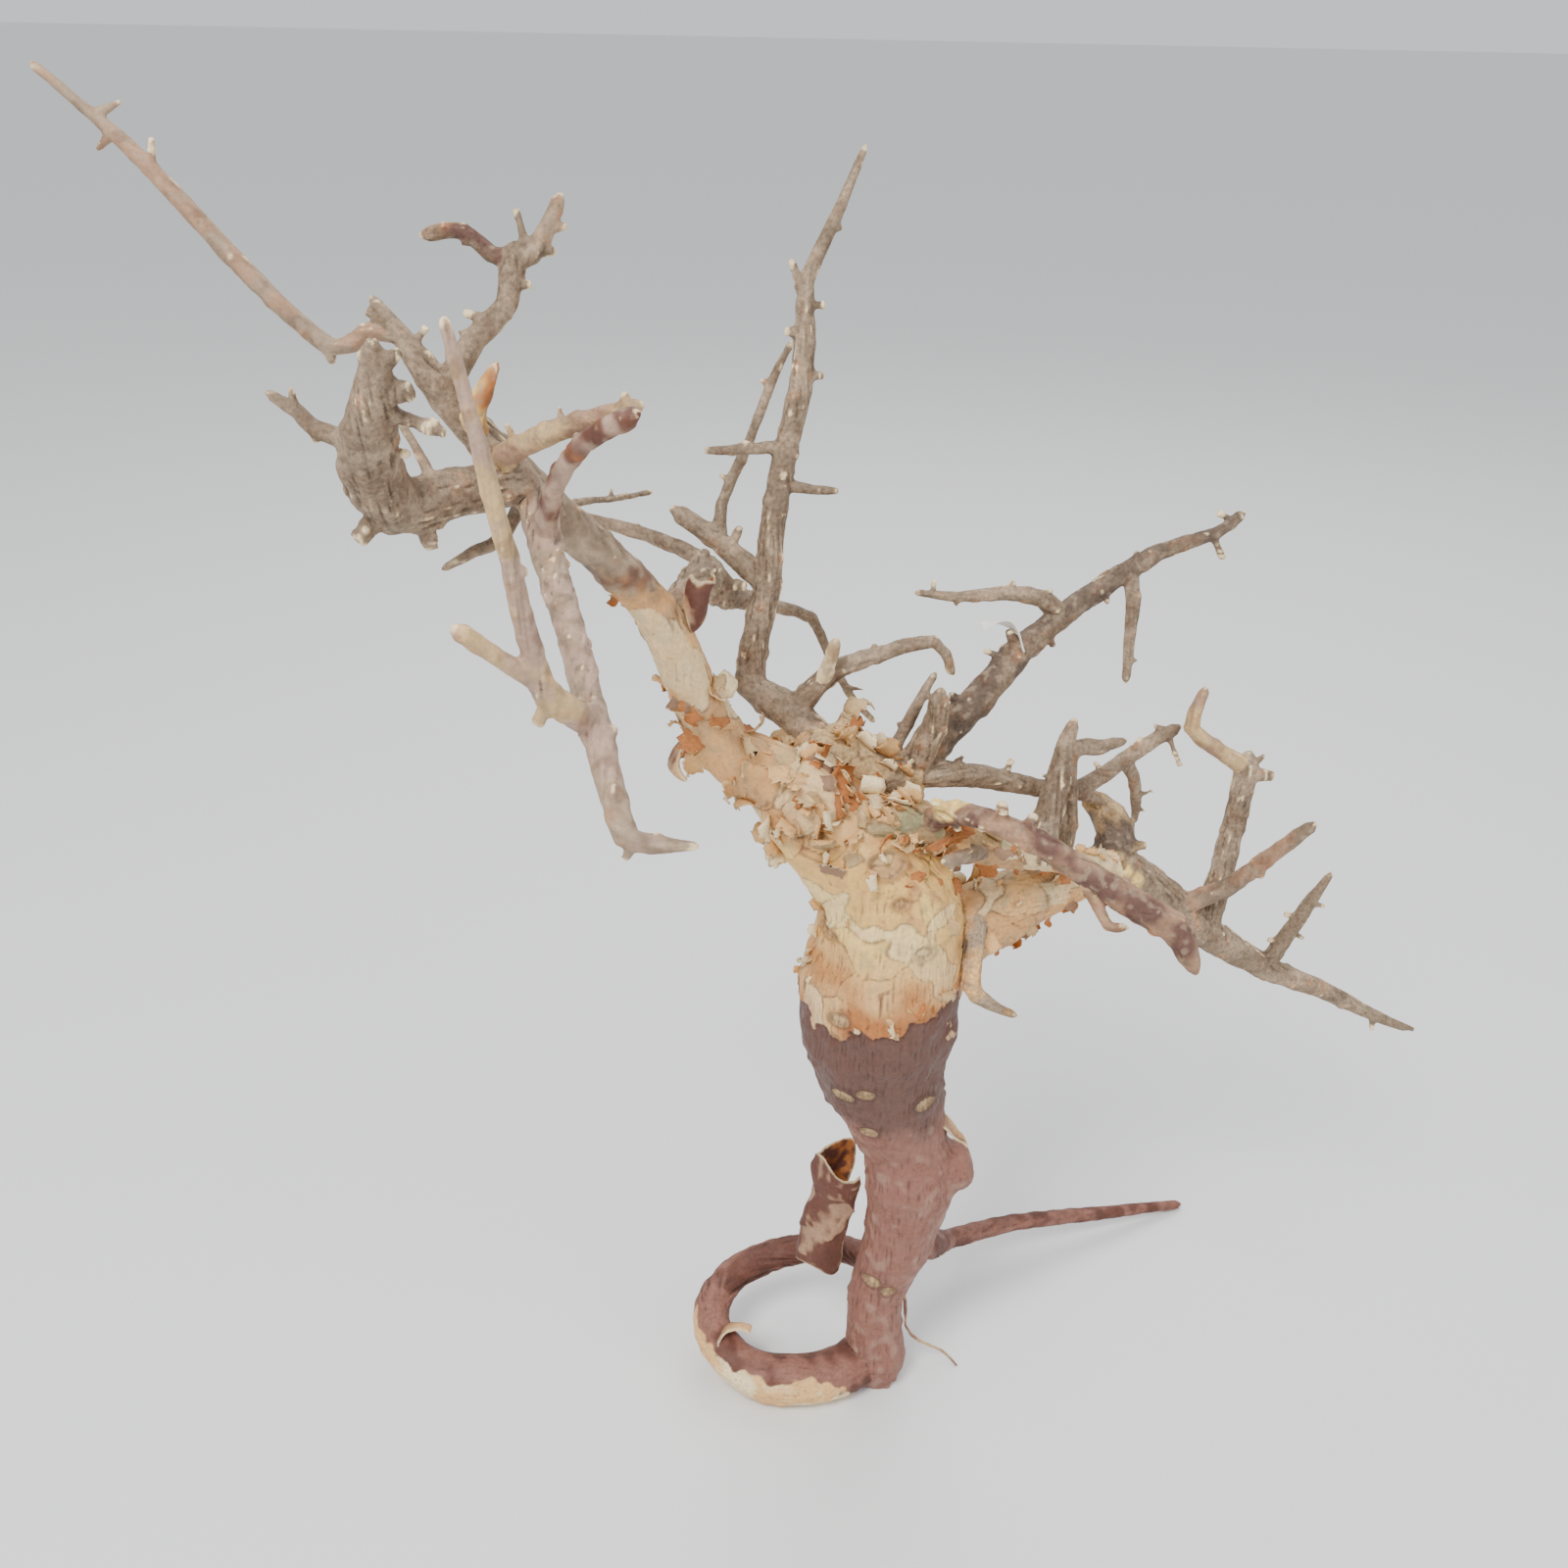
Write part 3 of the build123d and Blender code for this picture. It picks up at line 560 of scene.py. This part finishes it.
def make_piece(name, points, faces, colour, normals, material):
    """One shown piece, from millimetres."""
    mesh = bpy.data.meshes.new(name)
    mesh.from_pydata((points * MM).tolist(), [], faces)
    tint = mesh.attributes.new("tint", "FLOAT_COLOR", "POINT")
    tones = np.column_stack([colour, np.ones(len(colour))]).astype(np.float32)
    tint.data.foreach_set("color", tones.ravel())
    mesh.shade_smooth()
    if normals is not None:
        mesh.normals_split_custom_set_from_vertices(normals.tolist())
    mesh.materials.append(material)
    piece = bpy.data.objects.new(name, mesh)
    bpy.context.scene.collection.objects.link(piece)
    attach(piece, "root")
    return piece


def split_skin(skin, labels, colour, materials):
    """Cuts the skin into one closed piece for each limb."""
    normals = skin.normals()
    votes = np.sort(labels[skin.quads], axis=1)
    owner = np.where(votes[:, 1] == votes[:, 2], votes[:, 1], votes[:, 0])
    for index, name in enumerate(WOOD):
        faces = skin.quads[owner == index]
        used, inverse = np.unique(faces, return_inverse=True)
        faces = inverse.reshape(-1, 4)
        points, tones, out = skin.points[used], colour[used], normals[used]
        middles, triangles = caps(faces, points)
        if middles:
            points = np.concatenate([points, middles])
            tones = np.concatenate([tones, np.tile(tones.mean(0), (len(middles), 1))])
            out = np.concatenate([out, np.tile((0, 0, 1.0), (len(middles), 1))])
        piece = make_piece("wood_" + name, points, faces.tolist() + triangles, tones, out,
                           materials[SLOTS[name]])
        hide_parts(name)


def loose_piece(name, material):
    """A crumpled, curled strip of bark, with its two sides in different tones, or of plain paper."""
    skin = Skin(*remeshed([name], PAPER_VOXEL if name == "paper_scrap" else BARK_VOXEL))
    skin.soften(LOOSE_ROUNDS)
    p, out = skin.points, skin.normals()
    warp = np.column_stack([field(p, 9, shift) for shift in (1.3, 7.9, 4.4)])
    ripple = field(p, 2.5, 6.1)
    inward = np.einsum("ij,ij->i", out, p.mean(0) - p) > 0
    if name == "paper_scrap":
        colour = mix(linear("white"), linear("bone"), 0.2 * smooth(0, 0.4, ripple))
    else:
        outer = mix(linear("red_brown"), linear("tawny"), smooth(0, 0.4, warp[:, 0] + 0.5 * ripple))
        inner = mix(linear("orange"), linear("red_brown"), smooth(-0.3, 0.3, ripple))
        colour = mix(outer, inner, inward.astype(float))
        if name != "bark_roll":
            colour = mix(colour, linear("cream"), smooth(-0.2, 0.3, warp[:, 1]) * 0.7)
        colour = mix(colour, linear("bone"), smooth(0.05, 0.16, skin.bulge(4)) * 0.6)
    moved = p + warp * STRIP_WARP + out * ripple[:, None] * STRIP_RIPPLE + NUDGE.get(name, (0, 0, 0))
    moved[:, 2] = np.maximum(moved[:, 2], STRIP_FLOOR)
    piece = make_piece("loose_" + name, moved, skin.quads.tolist(), colour, None, material)
    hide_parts(name)


def flake(rng, root, out, side, size):
    """Points, faces and tones of one lifted, curled peel with a ragged rim."""
    ahead = np.cross(out, side)
    curl, lift = rng.uniform(*PEEL_CURLS), rng.uniform(*PEEL_LIFTS)
    rows, columns = PEEL_ROWS, PEEL_COLUMNS
    grid = []
    for i in range(rows):
        turn = curl * i / (rows - 1)
        reach = size * lift
        step = ahead * (reach * math.sin(turn) / curl) + out * (reach * (1 - math.cos(turn)) / curl)
        for j in range(columns):
            across = (j / (columns - 1) - 0.5) * size * (1 - 0.35 * (i / (rows - 1)) ** 2)
            jag = rng.uniform(-0.12, 0.12) * size * (i == rows - 1 or j in (0, columns - 1))
            grid.append(root + step + side * (across + jag) + ahead * jag + out * rng.uniform(-0.08, 0.08))
    top = np.array(grid)
    shaped = top.reshape(rows, columns, 3)
    normal = np.cross(np.gradient(shaped, axis=1), np.gradient(shaped, axis=0)).reshape(-1, 3)
    normal /= np.maximum(TINY, np.linalg.norm(normal, axis=1))[:, None]
    both = np.concatenate([top + normal * PEEL_HALF_THICKNESS, top - normal * PEEL_HALF_THICKNESS])
    faces, under = [], rows * columns
    for i in range(rows - 1):
        for j in range(columns - 1):
            a, b = i * columns + j, (i + 1) * columns + j
            faces += [(a, a + 1, b + 1, b), (under + b, under + b + 1, under + a + 1, under + a)]
    rim = (list(range(columns)) + [i * columns + columns - 1 for i in range(1, rows)]
           + [(rows - 1) * columns + j for j in range(columns - 2, -1, -1)]
           + [i * columns for i in range(rows - 2, 0, -1)])
    for a, b in zip(rim, rim[1:] + rim[:1]):
        faces.append((b, a, under + a, under + b))
    one, other = rng.choice(PEEL_TONES)
    tones = np.concatenate([np.tile(linear(other), (under, 1)), np.tile(linear(one), (under, 1))])
    return both, faces, tones * rng.uniform(0.8, 1.1)


def scatter_flakes(skin, labels, along, papery, material):
    """Peels round the crown, on the trunk's flanks and along the stout limbs."""
    rng = random.Random(SEED)
    p, out = skin.points, skin.normals()
    crown = np.exp(-(((p[:, 2] - PEEL_HEIGHT) / PEEL_SPREAD) ** 2)) * papery
    flank = (np.abs(out[:, 1]) < 0.5) * papery
    edge = np.exp(-((p[:, 2] - CREAM_FROM - 2) / 4) ** 2) * is_one_of(labels, "trunk") * papery
    right = is_one_of(labels, "limb_right", "limb_right_low", "limb_right_upper")
    weight = (2.2 * crown + 0.5 * flank + 1.0 * edge + 0.9 * right * papery + 0.04 * papery)
    chosen = np.random.default_rng(SEED).choice(len(p), PEEL_COUNT, replace=False, p=weight / weight.sum())
    points, faces, tones, first = [], [], [], 0
    for index in chosen.tolist():
        turn = rng.uniform(-1.2, 1.2)
        side = np.cross(out[index], along[index])
        side = side / max(TINY, np.linalg.norm(side))
        other = np.cross(out[index], side)
        side = side * math.sin(turn) + other * math.cos(turn)
        size = rng.uniform(*PEEL_SIZES) * (PEEL_LARGER if p[index, 2] > PEEL_LARGE_FROM else PEEL_SMALLER)
        root = p[index] - out[index] * PEEL_SUNK
        made, made_faces, made_tones = flake(rng, root, out[index], side, size)
        points.append(made)
        faces += [tuple(first + k for k in face) for face in made_faces]
        tones.append(made_tones)
        first += len(made)
    make_piece("bark_peels", np.concatenate(points), faces, np.concatenate(tones), None, material)


def studio():
    """The camera, a plain pale floor and soft light."""
    pitch, roll = math.radians(PITCH), math.radians(ROLL)
    ahead = Vector((0, math.cos(pitch), -math.sin(pitch)))
    right, up = Vector((1, 0, 0)), Vector((0, math.sin(pitch), math.cos(pitch)))
    right, up = (right * math.cos(roll) + up * math.sin(roll), up * math.cos(roll) - right * math.sin(roll))
    camera = bpy.data.objects.new("camera", bpy.data.cameras.new("camera"))
    camera.data.lens, camera.data.sensor_width = LENS, SENSOR
    camera.data.clip_start, camera.data.clip_end = CLIP_START, CLIP_END
    facing = Matrix((right, up, -ahead)).transposed().to_4x4()
    camera.matrix_world = Matrix.Translation(Vector(EYE) * MM) @ facing
    bpy.context.scene.collection.objects.link(camera)
    bpy.context.scene.camera = camera

    half = FLOOR_HALF
    corners = [(-half, -half, 0), (half, -half, 0), (half, half, 0), (-half, half, 0)]
    mesh = bpy.data.meshes.new("floor")
    mesh.from_pydata(corners, [], [(0, 1, 2, 3)])
    floor = bpy.data.objects.new("floor", mesh)
    bpy.context.scene.collection.objects.link(floor)
    pale = bpy.data.materials.new("floor")
    pale.use_nodes = True
    pale.node_tree.nodes["Principled BSDF"].inputs["Base Color"].default_value = FLOOR_TONE
    pale.node_tree.nodes["Principled BSDF"].inputs["Roughness"].default_value = FLOOR_ROUGHNESS
    mesh.materials.append(pale)

    world = bpy.data.worlds.new("studio")
    world.use_nodes = True
    world.node_tree.nodes["Background"].inputs["Color"].default_value = SKY_TONE
    world.node_tree.nodes["Background"].inputs["Strength"].default_value = SKY_STRENGTH
    bpy.context.scene.world = world
    for name, place, power, width in LAMPS:
        lamp = bpy.data.lights.new(name, "AREA")
        lamp.energy, lamp.size = power, width
        light = bpy.data.objects.new(name, lamp)
        light.location = place
        light.rotation_euler = (Vector(AIM) - Vector(place)).to_track_quat("-Z", "Y").to_euler()
        bpy.context.scene.collection.objects.link(light)


# Each slot's roughness, strength of specks, relief and, for paper, shine
SHADERS = {
    "trunk_bark": shader("trunk_bark", 0.55, 0.16, 0.5), "root_bark": shader("root_bark", 0.62, 0.24, 0.8),
    "pale_wood": shader("pale_wood", 0.6, 0.16, 0.5), "grey_bark": shader("grey_bark", 0.72, 0.42, 1.0),
    "tan_bark": shader("tan_bark", 0.64, 0.24, 0.7), "loose_bark": shader("loose_bark", 0.68, 0.22, 0.6),
    "scrap_paper": shader("scrap_paper", 0.8, 0.04, 0.2, 0.2)}

skin, labels, colour, along, papery = grow_skin()
split_skin(skin, labels, colour, SHADERS)
for loose in LOOSE:
    loose_piece(loose, SHADERS[SLOTS[loose]])
scatter_flakes(skin, labels, along, papery, SHADERS["loose_bark"])
studio()
